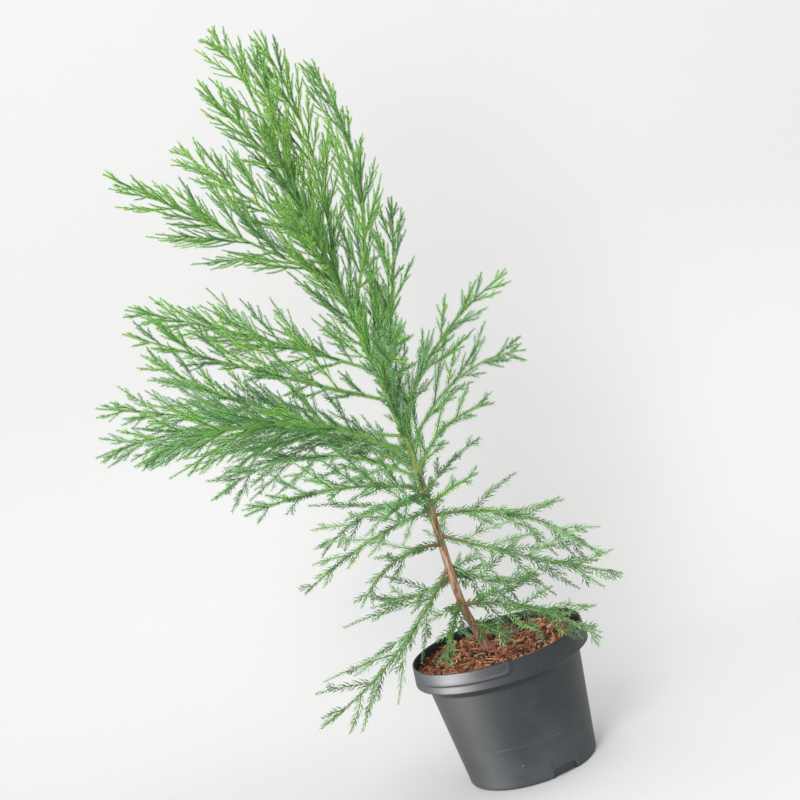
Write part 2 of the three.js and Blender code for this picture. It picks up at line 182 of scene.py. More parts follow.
# Meshes from whole arrays
def makePiece(name, points, faces, finish, nodes=(), smooth=True):
    points = np.ascontiguousarray(points, dtype=np.float32)
    faces = np.ascontiguousarray(faces, dtype=np.int32)
    sides = faces.shape[1]
    mesh = bpy.data.meshes.new(name)
    mesh.vertices.add(len(points))
    mesh.vertices.foreach_set("co", points.ravel())
    mesh.loops.add(faces.size)
    mesh.loops.foreach_set("vertex_index", faces.ravel())
    mesh.polygons.add(len(faces))
    mesh.polygons.foreach_set("loop_start", np.arange(0, faces.size, sides, dtype=np.int32))
    mesh.polygons.foreach_set("use_smooth", np.full(len(faces), smooth))
    mesh.update(calc_edges=True)
    mesh.validate()
    mesh.materials.append(finish)
    piece = bpy.data.objects.new(name, mesh)
    bpy.context.scene.collection.objects.link(piece)
    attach(piece, "root")
    if nodes:
        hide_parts(*nodes)
    print(name, len(faces), "faces")
    return piece


def mergeCentre(piece):  # the rows on the axis become one point each
    work = bmesh.new()
    work.from_mesh(piece.data)
    bmesh.ops.remove_doubles(work, verts=work.verts, dist=1e-6)
    bmesh.ops.recalc_face_normals(work, faces=work.faces)
    work.to_mesh(piece.data)
    work.free()


def gridFaces(rows, columns, wrap=True):  # quads between neighbouring rows, closed round if wrapped
    last = columns if wrap else columns - 1
    row, column = np.meshgrid(np.arange(rows - 1), np.arange(last), indexing="ij")
    after = (column + 1) % columns
    near, far = row * columns, (row + 1) * columns
    return np.stack([near + column, near + after, far + after, far + column], -1).reshape(-1, 4)


def repeatFaces(shape, corners, count):  # the faces of one small shape, for many copies of its corners
    return (shape[None] + corners * np.arange(count)[:, None, None]).reshape(-1, shape.shape[1])


def between(low, high, share):  # the value at a share of the way from low to high
    return low + (high - low) * share


def smoothStep(low, high, value):  # 0 below low, 1 above high, three squares less two cubes between
    share = np.clip((value - low) / (high - low), 0, 1)
    return share * share * (3 - 2 * share)


def unit(vectors):  # each vector over its own length
    return vectors / np.maximum(np.linalg.norm(vectors, axis=-1, keepdims=True), 1e-12)


def chance(first, second):  # a repeatable number from 0 to 1 for each pair of values: far digits of a sine
    value = np.sin(first * 12.9898 + second * 78.233) * 43758.5453
    return value - np.floor(value)


def evenRound(count):  # angles evenly round a circle
    return np.linspace(0, 2 * np.pi, count, endpoint=False)


def turnTo(bearing, middle):  # the shorter way round from one bearing to another
    return np.angle(np.exp(1j * (bearing - middle)))


# Pot, in millimetres and degrees
pot = {
    "height": 145, "rimRadius": 95, "collarHeight": 23, "collarFlare": 2, "wallTopRadius": 85.6,
    "footRadius": 71.6, "wall": 1.8, "floor": 3,
    "footRound": 4, "stepRound": 1, "collarRound": 1.6, "rimRound": 0.9, "innerRound": 1, "innerDraw": 0.4,
    "underRings": (0, 12, 24, 26, 40, 54), "floorRing": 30,
    "drains": 3, "drainBearing": -64, "drainWidth": 30, "drainHeight": 9, "drainInner": 25.6,
    "drainPowers": (5, 0.25),  # a flat top with round shoulders
    "drainRoom": 26.0,  # below this height the wall gives way to a drain
    "panelFrom": -66, "panelTo": 4, "panelDrop": 13.5, "panelCorner": 9, "panelEdge": (-0.3, 2.2),
    "panelRise": 1.1, "flatShare": 0.55, "beadShare": 0.75, "beadIn": 1.6, "beadWidth": 1.5,
    "panelOffRim": 0.5, "panelOffStep": 1.5,
    "sag": 0.35, "sagFrom": 40,  # the thin rim is slightly out of round
    "columns": 240, "drainColumns": 33, "drainClear": 1.06, "drainPast": 1.0001,
    "dark": (0.018, 0.0218, 0.0255), "light": (0.0275, 0.0335, 0.0385), "dust": (0.125, 0.138, 0.144),
    "soil": (0.23, 0.15, 0.09), "rubbed": (0.16, 0.17, 0.17), "lineHeight": 47,
}


def arcRows(centre, radius, start, end, count):  # points of a round from one angle to another, in degrees
    angles = np.radians(np.linspace(start, end, count))
    return np.stack([centre[0] + radius * np.cos(angles), centre[1] + radius * np.sin(angles)], -1)


def lineRows(start, end, count):  # points evenly between two ends, without the ends
    return np.linspace(start, end, count + 1)[1:-1]


# Radius and height along the section: up the outside from the middle of the underside, then down the inside
def potProfile(p):
    foot, top, rim, wall, floor = p["footRadius"], p["height"], p["rimRadius"], p["wall"], p["floor"]
    footRound, stepRound = p["footRound"], p["stepRound"]
    collarRound, rimRound = p["collarRound"], p["rimRound"]
    wallTop, collar, step = p["wallTopRadius"], rim + p["collarFlare"], top - p["collarHeight"]
    outside = [
        np.array([[ring, 0] for ring in p["underRings"]]),
        arcRows((foot - footRound, footRound), footRound, -90, 0, 7),
        lineRows((foot, footRound), (wallTop, step), 16),
        arcRows((wallTop + stepRound, step - stepRound), stepRound, 170, 90, 4),
        lineRows((wallTop + stepRound, step), (collar - collarRound, step), 3),
        arcRows((collar - collarRound, step + collarRound), collarRound, -90, 0, 5),
        lineRows((collar, step + collarRound), (rim, top - rimRound), 26),
        arcRows((rim - rimRound, top - rimRound), rimRound, 0, 180, 8),
    ]
    shelf, turn = step + wall, p["innerRound"]
    inner = collar - wall - p["innerDraw"]  # inside of the collar, above the shelf
    inside = [
        lineRows((rim - wall, top - rimRound), (inner, shelf + turn), 5),
        arcRows((inner - turn, shelf + turn), turn, 0, -90, 3),
        lineRows((inner - turn, shelf), (wallTop - wall, shelf), 3),
        lineRows((wallTop - wall, shelf), (foot - wall, floor), 5),
        np.array([[foot - wall, floor], [p["floorRing"], floor], [0, floor]]),
    ]
    return np.concatenate(outside), np.concatenate(inside)


def drainMiddles(p):  # bearings of the drains, even round the foot
    return [math.radians(p["drainBearing"] + 360 / p["drains"] * number) for number in range(p["drains"])]


def drainHalf(p):  # half a drain's width as an angle
    return p["drainWidth"] / 2 / p["footRadius"]


def drainLift(p, bearing, radius):  # height of the arch cut in the foot: a rounded rectangle over each drain
    lift = np.zeros(np.broadcast(bearing, radius).shape)
    flatness, rounding = p["drainPowers"]
    for middle in drainMiddles(p):
        away = turnTo(bearing, middle) / drainHalf(p)
        arch = np.clip(1 - np.abs(away) ** flatness, 0, 1) ** rounding
        lift = np.maximum(lift, np.where(radius > p["drainInner"], arch * p["drainHeight"], 0))
    return lift


# Raised panel on the front and the back of the collar: a flat inside a rounded outline, and a bead along it
def panelHeight(p, bearing, drop):
    height = np.zeros(np.broadcast(bearing, drop).shape)
    corner = p["panelCorner"]
    halfLength = math.radians((p["panelTo"] - p["panelFrom"]) / 2) * p["rimRadius"]
    for side in (-90, 90):
        middle = math.radians(side + (p["panelFrom"] + p["panelTo"]) / 2)
        along = np.abs(turnTo(bearing, middle)) * p["rimRadius"]
        pastLength = np.maximum(along - (halfLength - corner), 0)
        pastDrop = np.maximum(drop - (p["panelDrop"] - corner), 0)
        edge = corner - np.hypot(pastLength, pastDrop)  # distance inside the outline
        flat = smoothStep(*p["panelEdge"], edge) * p["panelRise"] * p["flatShare"]
        bead = np.exp(-((edge - p["beadIn"]) / p["beadWidth"]) ** 2) * p["panelRise"] * p["beadShare"]
        height = np.maximum(height, flat + bead)
    return height


# Even bearings, with finer ones over each drain and just past it, closest together at its sides
def potColumns(p):
    bearing = evenRound(p["columns"])
    swing = np.sin(np.linspace(-np.pi / 2, np.pi / 2, p["drainColumns"]))
    for middle in np.mod(drainMiddles(p), 2 * np.pi):
        bearing = bearing[np.abs(turnTo(bearing, middle)) > drainHalf(p) * p["drainClear"]]
        fine = middle + drainHalf(p) * swing * p["drainPast"]
        bearing = np.sort(np.concatenate([bearing, fine % (2 * np.pi)]))
    return bearing


# A profile of radius and height carried round the axis, lifted over the drains and raised at the panels
def potSurface(p):
    outside, inside = potProfile(p)
    profile = np.concatenate([outside, inside])
    bearing = potColumns(p)
    radius, height = profile[:, :1], profile[:, 1:]
    isOutside = (np.arange(len(profile)) < len(outside))[:, None]
    lift = drainLift(p, bearing[None, :], radius) * isOutside
    room = p["drainRoom"]
    z = np.where(isOutside & (height < room), lift + height * (room - lift) / room, height)
    drop = p["height"] - height
    isCollar = (radius > p["rimRadius"] - p["panelOffRim"]) & (drop < p["collarHeight"] - p["panelOffStep"])
    r = radius + np.where(isOutside & isCollar, panelHeight(p, bearing[None, :], drop), 0)
    sag = p["sag"] * np.sin(2 * bearing + 0.6)[None, :] * smoothStep(p["sagFrom"], p["height"], height)
    r = np.where(radius > 1, r + sag, r)
    points = np.stack([r * np.cos(bearing), r * np.sin(bearing), np.broadcast_to(z, r.shape)], -1)
    return points.reshape(-1, 3) * mm, gridFaces(len(profile), len(bearing))


# Grey plastic with faint clouds, some dust, more of it at the foot, specks of soil and a rubbed line
def potFinish(p):
    f = Finish("potPlastic", 0.5)
    cloud = f.noise(9, 3)
    fine = f.noise(900, 2)
    rubbed = f.noise(1.0, 6, 0.7, f.stretched((30, 30, 190)))
    specks = f.band(f.noise(210, 2, 0.4), 0.72, 0.76)
    height = f.height()
    low = 1 - f.band(height, 0.0, 0.05)
    fromLine = f.node("ShaderNodeMath", {"operation": "ABSOLUTE"}, {0: height - p["lineHeight"] * mm})
    line = 1 - f.band(fromLine, 0.0002, 0.0009)
    dust = f.band(cloud * 0.8 + rubbed * 0.3 + low * 0.12, 0.5, 0.85)
    plain = f.mix(f.band(cloud, 0.3, 0.75), p["dark"], p["light"])
    dusty = f.mix(dust * 0.35, plain, p["dust"])
    soiled = f.mix(specks * (0.25 + low * 0.6), dusty, p["soil"])
    marked = f.mix(line * f.band(rubbed, 0.4, 0.7) * 0.4, soiled, p["rubbed"])
    normal = f.bump(fine * 0.5 + rubbed * 0.12 + line * 0.3, 0.00025, 0.5)
    return f.set(colour=marked, roughness=0.46 + dust * 0.2 + fine * 0.06, normal=normal)


potPoints, potFaces = potSurface(pot)
potPiece = makePiece("pot_shell", potPoints, potFaces, potFinish(pot), ["pot"])
mergeCentre(potPiece)

# Mulch: the fill of the pot, level where the trunk stands and uneven further out
trunkFoot = (-11, 15)
mulch = {
    "depth": 12,  # of its top below the rim
    "settled": 1.2,  # of the fill's top below the mean of the chips
    "unevenness": 2.6, "levelTo": 14, "unevenFrom": 40, "crumbs": (-0.9, 0.5),
    "wallGap": 0.4, "floorGap": 0.3, "topGap": 0.9, "flareShare": 0.45,  # of the collar's flare, at the top
    "columns": 120, "rings": 36,
    "dark": (0.022, 0.012, 0.008), "light": (0.1, 0.038, 0.02), "grain": (350, 350, 350),
}
ground = pot["height"] - mulch["depth"]
topRadius = pot["rimRadius"] + pot["collarFlare"] * mulch["flareShare"] - pot["wall"] - mulch["topGap"]


def fromTrunk(x, y):  # distance from the middle of the trunk's foot
    return np.hypot(x - trunkFoot[0], y - trunkFoot[1])


def mulchHeight(x, y):  # low swells of the top, made of a few crossed waves, level round the trunk's foot
    waves = np.sin(x * 0.11 + 1.3) * np.cos(y * 0.09 + 0.4) + 0.6 * np.sin(x * 0.23 - y * 0.19 + 2.1)
    uneven = smoothStep(mulch["levelTo"], mulch["unevenFrom"], fromTrunk(x, y))
    return mulch["unevenness"] * 0.5 * waves * uneven


# The fill: a profile up the inside of the pot, then rings over the uneven top
def mulchSurface():
    bearing = evenRound(mulch["columns"])[None, :]
    inset = pot["wall"] + mulch["wallGap"]
    bottom = pot["floor"] + mulch["floorGap"]
    step = pot["height"] - pot["collarHeight"] + pot["wall"] + mulch["floorGap"]
    side = np.array([
        [0, bottom], [pot["footRadius"] - inset, bottom], [pot["wallTopRadius"] - inset, step],
        [pot["rimRadius"] + pot["collarFlare"] / 2 - inset, step],
    ])
    ring = np.linspace(topRadius, 0, mulch["rings"])
    radius = np.concatenate([side[:, 0], ring])[:, None]
    offAxis = radius > 0.5
    x, y = radius * np.cos(bearing), radius * np.sin(bearing)
    crumbs = rng.uniform(*mulch["crumbs"], x.shape) * offAxis
    level = ground - mulch["settled"]
    top = level + mulchHeight(x, y) + crumbs
    isTop = (np.arange(len(radius)) >= len(side))[:, None]
    base = np.concatenate([side[:, 1], ring * 0])[:, None]
    z = np.where(isTop, np.where(offAxis, top, level), base)
    return np.stack([x, y, z], -1).reshape(-1, 3) * mm, gridFaces(len(radius), mulch["columns"])


def mulchFinish(name, dark, light, grain):  # streaks of two tones
    f = Finish(name, 0.9)
    streaks = f.noise(1.0, 5, 0.6, f.stretched(grain))
    tone = f.noise(160, 3)
    colour = f.ramp(streaks * 0.6 + tone * 0.4, (0.32, dark), (0.66, light))
    return f.set(colour=colour, normal=f.bump(streaks, 0.0006, 0.7))


mulchPoints, mulchFaces = mulchSurface()
earthFinish = mulchFinish("mulchEarth", mulch["dark"], mulch["light"], mulch["grain"])
mulchPiece = makePiece("mulch_fill", mulchPoints, mulchFaces, earthFinish, ["mulch"])
mergeCentre(mulchPiece)

# Loose chips on top of the fill
chips = {
    "count": 3300, "firstSeed": 40, "edgeGap": 2.5, "trunkGap": 7.5,
    "shortest": 5, "longest": 21, "shortPower": 2.2,  # a higher power gives more short ones
    "slimness": (0.06, 0.2), "leastWidth": 0.45, "thickness": (0.25, 0.5),
    "slant": 23, "roll": 0.35, "lift": (-0.8, 3.0), "bend": (-0.09, 0.09),
    "rings": (-0.5, -0.16, 0.2, 0.5),  # along the chip, as shares of its length
    "swell": ((0.3, 0.7), (0.8, 1), (0.75, 1), (0.1, 0.6)),  # least and most width at each ring
    "corners": ((-0.5, -0.4), (0.5, -0.5), (0.4, 0.5), (-0.45, 0.4)),
    "grain": (500, 500, 120),
    "kinds": {  # dark and light tone, share of the count
        "chips_red": ((0.2, 0.06, 0.028), (0.52, 0.18, 0.085), 0.36),
        "chips_orange": ((0.42, 0.16, 0.075), (0.85, 0.4, 0.21), 0.22),
        "chips_brown": ((0.016, 0.007, 0.004), (0.11, 0.045, 0.027), 0.33),
        "chips_pale": ((0.45, 0.26, 0.17), (0.9, 0.64, 0.48), 0.09),
    },
}


# Each chip is four rings of four corners, closed at both ends, bent a little and laid at a slant on the top
def chipSurface(count, seed):
    r = np.random.default_rng(seed)
    radius = (topRadius - chips["edgeGap"]) * np.sqrt(r.uniform(0, 1, count))
    bearing = r.uniform(0, 2 * np.pi, count)
    x, y = radius * np.cos(bearing), radius * np.sin(bearing)
    clear = fromTrunk(x, y) > chips["trunkGap"]
    x, y, radius = x[clear], y[clear], radius[clear]
    n = len(x)
    length = between(chips["shortest"], chips["longest"], r.uniform(0, 1, n) ** chips["shortPower"])
    length = np.minimum(length, 2 * np.maximum(topRadius - radius, 2))  # none reaches through the wall
    width = length * r.uniform(*chips["slimness"], n) + chips["leastWidth"]
    thick = width * r.uniform(*chips["thickness"], n)
    turn = r.uniform(0, 2 * np.pi, n)
    slant = np.radians(r.normal(0, chips["slant"], n))
    roll = r.uniform(0, np.pi, n) * chips["roll"]
    along = np.stack([np.cos(turn) * np.cos(slant), np.sin(turn) * np.cos(slant), np.sin(slant)], -1)
    flat = unit(np.cross(along, upward))
    rise = np.cross(flat, along)
    side = flat * np.cos(roll)[:, None] + rise * np.sin(roll)[:, None]
    up = np.cross(side, along)
    middle = np.stack([x, y, ground + mulchHeight(x, y) + r.uniform(*chips["lift"], n)], -1)
    steps, corners = np.array(chips["rings"]), np.array(chips["corners"])
    swell = np.stack([r.uniform(*ends, n) for ends in chips["swell"]], -1)
    bend = r.uniform(*chips["bend"], n)
    ring = middle[:, None, :] + along[:, None, :] * (steps * length[:, None])[..., None]
    ring = ring + up[:, None, :] * (bend[:, None] * length[:, None] * (0.25 - steps ** 2) * 4)[..., None]
    offset = side[:, None, None, :] * (corners[:, 0] * (width[:, None] * swell)[..., None])[..., None]
    offset = offset + up[:, None, None, :] * (corners[:, 1] * (thick[:, None] * swell)[..., None])[..., None]
    points = ring[:, :, None, :] + offset
    caps = np.array([[3, 2, 1, 0], [12, 13, 14, 15]])
    shape = np.concatenate([gridFaces(len(steps), len(corners)), caps])
    return points.reshape(-1, 3) * mm, repeatFaces(shape, len(steps) * len(corners), n)


for number, (chipName, (chipDark, chipLight, chipShare)) in enumerate(chips["kinds"].items()):
    chipPoints, chipFaces = chipSurface(int(chips["count"] * chipShare), chips["firstSeed"] + number)
    chipFinish = mulchFinish(chipName, chipDark, chipLight, chips["grain"])
    makePiece(chipName, chipPoints, chipFaces, chipFinish, smooth=False)

# Trunk: centre line through a few points, taper and root flare
trunk = {
    "line": [
        (*trunkFoot, ground + 0.3), (-24, 9, 196), (-26, 4, 290), (-29, -1, 380), (-41, 0, 492),
        (-54, 0, 600), (-68, 0, 705), (-81, 0, 800), (-98, 0, 852),
    ],
    "topHeight": 752, "barkPast": 40,  # the bark goes on this far inside the leader
    "footRadius": 4.8, "topRadius": 1.4, "leastRadius": 0.8, "flare": 1.8, "flareHeight": 10, "sink": 4,
    "relief": 0.075, "reliefFrom": 300, "reliefTo": 480, "topRelief": 0.012,
    "spurs": 5, "spurRise": 0.28, "spurHeight": 9,  # root buttresses of the flare
    "rows": 420, "sides": 40,
    "bark": (
        (0.38, (0.1, 0.035, 0.02)), (0.47, (0.33, 0.135, 0.075)), (0.56, (0.5, 0.28, 0.19)),
        (0.66, (0.62, 0.45, 0.35)),
    ),
    "green": ((0.3, (0.14, 0.25, 0.05)), (0.7, (0.29, 0.41, 0.11))),
}
trunkLine = np.array(trunk["line"], float)


# A smooth curve through the points: each span is a cubic that blends its ends and their neighbours' slopes
def trunkPoint(share):
    before, after = 2 * trunkLine[0] - trunkLine[1], 2 * trunkLine[-1] - trunkLine[-2]
    knots = np.concatenate([[before], trunkLine, [after]])
    place = np.clip(np.asarray(share, float), 0, 1) * (len(trunkLine) - 1)
    span = np.minimum(place.astype(int), len(trunkLine) - 2)
    t = (place - span)[..., None]
    a, b, c, d = (knots[span + i] for i in range(4))
    squares = (2 * a - 5 * b + 4 * c - d) * t ** 2
    cubes = (3 * b - a - 3 * c + d) * t ** 3
    return 0.5 * (2 * b + (c - a) * t + squares + cubes)


trunkShares = np.linspace(0, 1, 4001)
trunkHeights = trunkPoint(trunkShares)[:, 2]


def trunkShare(height):  # looked up in a fine table of heights
    return np.interp(height, trunkHeights, trunkShares)


def trunkRadius(height):  # an even taper, and a flare that dies away above the ground
    above = np.maximum(np.asarray(height, float) - ground, 0)
    gain = (trunk["topRadius"] - trunk["footRadius"]) * above / (trunk["topHeight"] - ground)
    flare = trunk["flare"] * np.exp(-above / trunk["flareHeight"])
    return np.maximum(trunk["footRadius"] + gain, trunk["leastRadius"]) + flare


# A closed tube: rings of given radii carried along a line, square to it, and turned from one steady direction
def tubeSurface(line, radius, sides, steady):
    tangent = unit(np.gradient(line, axis=0))
    across = unit(np.cross(np.broadcast_to(steady, line.shape), tangent))
    beside = np.cross(tangent, across)
    angle = evenRound(sides)
    circle = across[:, None] * np.cos(angle)[:, None] + beside[:, None] * np.sin(angle)[:, None]
    points = line[:, None] + circle * radius[..., None]
    strip = np.arange(sides // 2 - 1)
    cap = np.stack([strip, strip + 1, sides - 2 - strip, sides - 1 - strip], -1)  # quads across an end
    faces = np.concatenate([gridFaces(len(line), sides), cap[:, ::-1], cap + (len(line) - 1) * sides])
    return points.reshape(-1, 3), faces


def barkRelief(angle, along):  # stringy ridges that run up the stem and wander sideways, and loose flakes
    drift = 0.8 * np.sin(along * 0.05 + 1.0) + 0.5 * np.sin(along * 0.021)
    strings = np.sin(7 * angle + drift + 0.6 * np.sin(along * 0.09)) * 0.5
    strings = strings + np.sin(13 * angle - 1.3 * drift + np.sin(along * 0.17 + 2)) * 0.35
    flakes = np.maximum(np.sin(3 * angle + along * 0.13 + 1.7 * np.sin(along * 0.047)) - 0.55, 0) * 1.1
    return strings * 0.5 + flakes


# A tube up the line, sunk into the mulch, with relief that fades upwards and buttresses at its foot
def trunkSurface():
    line = trunkPoint(np.linspace(0, trunkShare(trunk["topHeight"] + trunk["barkPast"]), trunk["rows"]))
    line = np.concatenate([line[:1] - np.array([0, 0, trunk["sink"]]), line])
    angle = evenRound(trunk["sides"])[None, :]
    height = line[:, 2:3]
    above = np.maximum(height - ground, 0)
    fade = 1 - smoothStep(trunk["reliefFrom"], trunk["reliefTo"], height)
    rough = trunk["relief"] * fade + trunk["topRelief"]
    radius = trunkRadius(height) * (1 + rough * barkRelief(angle, height))
    wave = np.sin(trunk["spurs"] * angle + 0.8)
    spurs = 1 + trunk["spurRise"] * wave * np.exp(-above / trunk["spurHeight"])
    points, faces = tubeSurface(line, radius * spurs, trunk["sides"], np.array([0.0, 1, 0]))
    return points * mm, faces


def barkFinish():  # red-brown strings and pale patches, green flecks, and green above the lower boughs
    f = Finish("barkRed", 0.85)
    strings = f.noise(1.0, 6, 0.6, f.stretched((900, 900, 60)))
    patches = f.noise(1.0, 4, 0.6, f.stretched((260, 260, 70)))
    bark = f.ramp(strings * 0.5 + patches * 0.5, *trunk["bark"])
    green = f.ramp(patches, *trunk["green"])
    share = f.band(patches * 0.28 + f.height(), 0.4, 0.53)
    flecks = f.band(f.noise(1.0, 3, 0.5, f.stretched((420, 420, 130))), 0.56, 0.63)
    colour = f.mix(share, f.mix(flecks * 0.75, bark, green), green)
    return f.set(colour=colour, normal=f.bump(strings * 0.7 + patches * 0.3, 0.0006, 0.8))


trunkPoints, trunkFaces = trunkSurface()
makePiece("trunk_bark", trunkPoints, trunkFaces, barkFinish(), ["trunk"])

# Boughs: height of the root, bearing, rise and bend in degrees, whole length, bare limb
boughs = {
    "left_1": (238, -161, -31, 31, 224, 55),
    "left_2": (226, 142, -7, 40, 118, 0),
    "left_3": (262, -138, -8, -60, 140, 0),
    "left_4": (304, -161, -13, -23, 166, 0),
    "left_5": (316, 153, -15, -49, 155, 0),
    "left_6": (328, -143, 13, -26, 232, 45),
    "left_7": (338, 153, 6, -66, 272, 50),
    "left_8": (350, -176, 20, -52, 352, 60),
    "left_9": (362, -158, 18, -60, 322, 55),
    "left_10": (374, 170, 23, -7, 346, 60),
    "left_11": (389, 158, 30, 28, 318, 55),
    "left_12": (430, -164, 32, 5, 294, 45),
    "left_13": (464, 166, 29, -7, 284, 45),
    "left_14": (567, -170, 42, 1, 268, 40),
    "left_15": (611, 154, 47, 6, 195, 30),
    "left_16": (690, -155, 61, 4, 133, 0),
    "right_1": (192, -38, -18, -37, 174, 0),
    "right_2": (240, 43, -27, 37, 138, 0),
    "right_3": (274, -15, -26, 8, 201, 40),
    "right_4": (296, 14, -32, -52, 206, 40),
    "right_5": (309, -47, 19, -8, 90, 0),
    "right_6": (322, 33, 20, -24, 95, 0),
    "right_7": (345, -43, 26, -52, 149, 0),
    "right_8": (368, 25, 20, -69, 192, 40),
    "right_9": (396, -15, 40, -41, 210, 40),
    "right_10": (445, 47, 62, 17, 214, 35),
    "right_11": (532, -22, 83, 62, 282, 40),
    "right_12": (576, 30, 91, 36, 270, 35),
    "right_13": (664, -88, 78, 8, 168, 0),
    "low_1": (168, -68, -5, -18, 100, 0),
}
# Tiers of a front and a back bough: mean height, rise, bend, length, bearing of the front and of the back one
tiers = [
    (212, -20, -14, 108, -109, 78), (334, 7, -14, 154, -106, 106), (456, 28, -4, 148, -76, 78),
    (578, 49, 6, 140, -106, 106),
]
backAbove, frontBelow = 16, 14
for tier, (tierAt, tierRise, tierBend, tierLength, frontBearing, backBearing) in enumerate(tiers, 1):
    boughs[f"back_{tier}"] = (tierAt + backAbove, backBearing, tierRise, tierBend, tierLength, 0)
    boughs[f"front_{tier}"] = (tierAt - frontBelow, frontBearing, tierRise, tierBend, tierLength, 0)

# Stretches of the trunk that carry shoots too: lowest and highest point, length
stretches = {
    "leader": (trunk["topHeight"], 852, 104),
    "trunk": (372, trunk["topHeight"], 370),
    "foot": (255, 372, 117),
    "clad": (364, 490, 126),
}
trunkStems = ("trunk", "foot", "clad")  # their bark is the trunk's
shortStems = ("foot", "clad")  # with short shoots only, and no needles on the bark
stemShape = {
    "bareShare": 0.5, "leastBare": 0.06,  # of a bare limb, and at least of each bough, without side shoots
    "rootShare": 0.5, "rootLeast": 1.3, "rootMost": 2.3,  # radius at the root, from the trunk's
    "tipRadius": 0.5, "taperPower": 0.8, "underBark": 0.9,
}


# A bough's line: an arc in an upright plane whose rise turns evenly from one end to the other
def boughPoint(stem, share):
    bend, bearing = stem["bend"], stem["bearing"]
    start = stem["rise"] - bend / 2
    now = start + bend * share
    out = stem["length"] / bend * (np.sin(now) - math.sin(start))
    up = stem["length"] / bend * (math.cos(start) - np.cos(now))
    root = trunkPoint(trunkShare(stem["at"]))
    return root + np.stack([out * math.cos(bearing), out * math.sin(bearing), up], -1)


def boughRadius(stem, share):  # from about half the trunk's thickness down to a thin tip
    root = trunkRadius(stem["at"]) * stemShape["rootShare"]
    root = np.clip(root, stemShape["rootLeast"], stemShape["rootMost"])
    return root + (stemShape["tipRadius"] - root) * share ** stemShape["taperPower"]


# A stem's line and radius from 0 at its root to 1 at its tip, on a bough or on a stretch of the trunk
def stemPoint(stem, share):
    if stem["name"] in boughs:
        return boughPoint(stem, share)
    return trunkPoint(between(trunkShare(stem["low"]), trunkShare(stem["high"]), share))


def stemRadius(stem, share):
    if stem["name"] in boughs:
        return boughRadius(stem, share)
    return trunkRadius(between(stem["low"], stem["high"], share)) * stemShape["underBark"]


stems = []
for stemName, (at, bearing, rise, bend, length, bareLimb) in boughs.items():
    way = math.radians(bearing)
    stems.append({
        "name": stemName, "number": len(stems), "at": at, "length": length,
        "bearing": way, "rise": math.radians(rise), "bend": math.radians(bend),
        "bare": max(stemShape["bareShare"] * bareLimb / length, stemShape["leastBare"]),
        "beside": np.array([math.sin(way), -math.cos(way), 0]),
    })
for stemName, (lowest, highest, length) in stretches.items():
    stems.append({
        "name": stemName, "number": len(stems), "low": lowest, "high": highest, "length": length,
        "bare": 0.0, "beside": np.array([0.0, 1, 0]),
    })

# Growth at three heights: the thin low boughs, the middle and the top
growth = {
    "height": (235, 430, 640),
    "leaveRoot": (46, 41, 38), "leaveTip": (36, 27, 24),  # degrees off the stem at its root and its tip
    "sideStep": (16.0, 10.4, 9.0), "twigStep": (26.0, 6.8, 5.1),  # between side shoots, and between twigs
    "upperBias": (0.1, 0.16, 0.22),  # how much longer a stem's upper shoots are
    "twigLeave": (37, 30, 26),
    "needleLength": (9.5, 5.3, 3.2), "needleSpread": (41, 43, 34), "needleWidth": (1.5, 1.14, 1.03),
    "needlesPerMm": (0.78, 1.12, 1.7),
    "needleTip": (0.36, 0.66, 0.82),  # length at a shoot's tip, as a share
}

# Side shoots on the stems
foliage = {
    "seed": 11, "turnDraw": 50, "reachDraw": 90,  # numbers that set the draws apart
    "last": 0.93,  # the share of a stem where its last side shoot stands
    "turnLoose": 40, "stemTurn": 60, "leaveLoose": 4, "sway": 0.12,
    "forward": 0.5, "lift": 0.17, "upperLift": 0.25, "hangingLift": 0.05,  # how a shoot turns on its way
    "luckLeast": 0.65, "luckMore": 0.5,
    "sideShortest": 34, "sideLongest": 104, "sideShare": 0.42,  # the longest, as a share of the stem
    "rootReach": 0.75, "fullBy": 0.25, "fullReach": 1.12, "taper": 0.66,  # from the trunk to the tip
    "tipReach": 0.75, "pastTip": 7,  # none reaches far past the stem's tip
    "leaderReach": 84, "leaderTaper": 0.5,
    "trunkReach": 82, "trunkStep": 5.6, "trunkUpperFrom": 0.55, "trunkUpper": 0.75,
    "trunkLow": 0.26, "footLeft": 0.2, "footRight": 1.2,  # below this share less on the left
    "footReach": 32, "cladReach": 52, "cladLeave": 0.7,
    "foot": 0.75, "end": 0.4,  # radius at a shoot's foot and end
    "needlesFrom": 0.03, "runLength": 18, "fewestRuns": 4,  # the stems' own needles
}

# Stems whose side shoots are longer or shorter than the rule gives: above the stem, below it
sideShape = {
    "left_1": (1.3, 0.8), "left_2": (1.4, 1.4), "left_3": (0.8, 0.8), "left_4": (1.0, 0.6),
    "left_5": (1.4, 0.9), "left_6": (1.0, 0.45), "left_7": (0.6, 1.1), "left_8": (0.75, 1.4),
    "left_9": (0.75, 1.65), "left_10": (0.85, 1.0), "left_11": (0.6, 0.9), "left_12": (1.15, 0.5),
    "left_13": (0.85, 1.25), "left_14": (1.0, 1.6), "left_16": (0.9, 1.5),
    "right_1": (1.2, 1.0), "right_2": (1.3, 1.3), "right_3": (1.1, 1.2), "right_4": (0.7, 1.3),
    "right_5": (0.7, 0.6), "right_6": (0.7, 0.6), "right_7": (0.9, 0.6), "right_8": (1.2, 0.9),
    "right_9": (0.6, 1.0), "right_10": (1.2, 0.55), "right_11": (1.1, 0.6), "right_12": (1.0, 0.8),
    "right_13": (1.2, 0.8),
    "leader": (0.75, 1.4), "trunk": (1.0, 1.15), "foot": (1.2, 0.7), "clad": (1.0, 0.1),
}
# Stems whose side shoots shorten more or less towards the tip
sideTaper = {"left_11": 0.45, "left_13": 0.9, "left_14": 1.0, "right_3": 0.85}
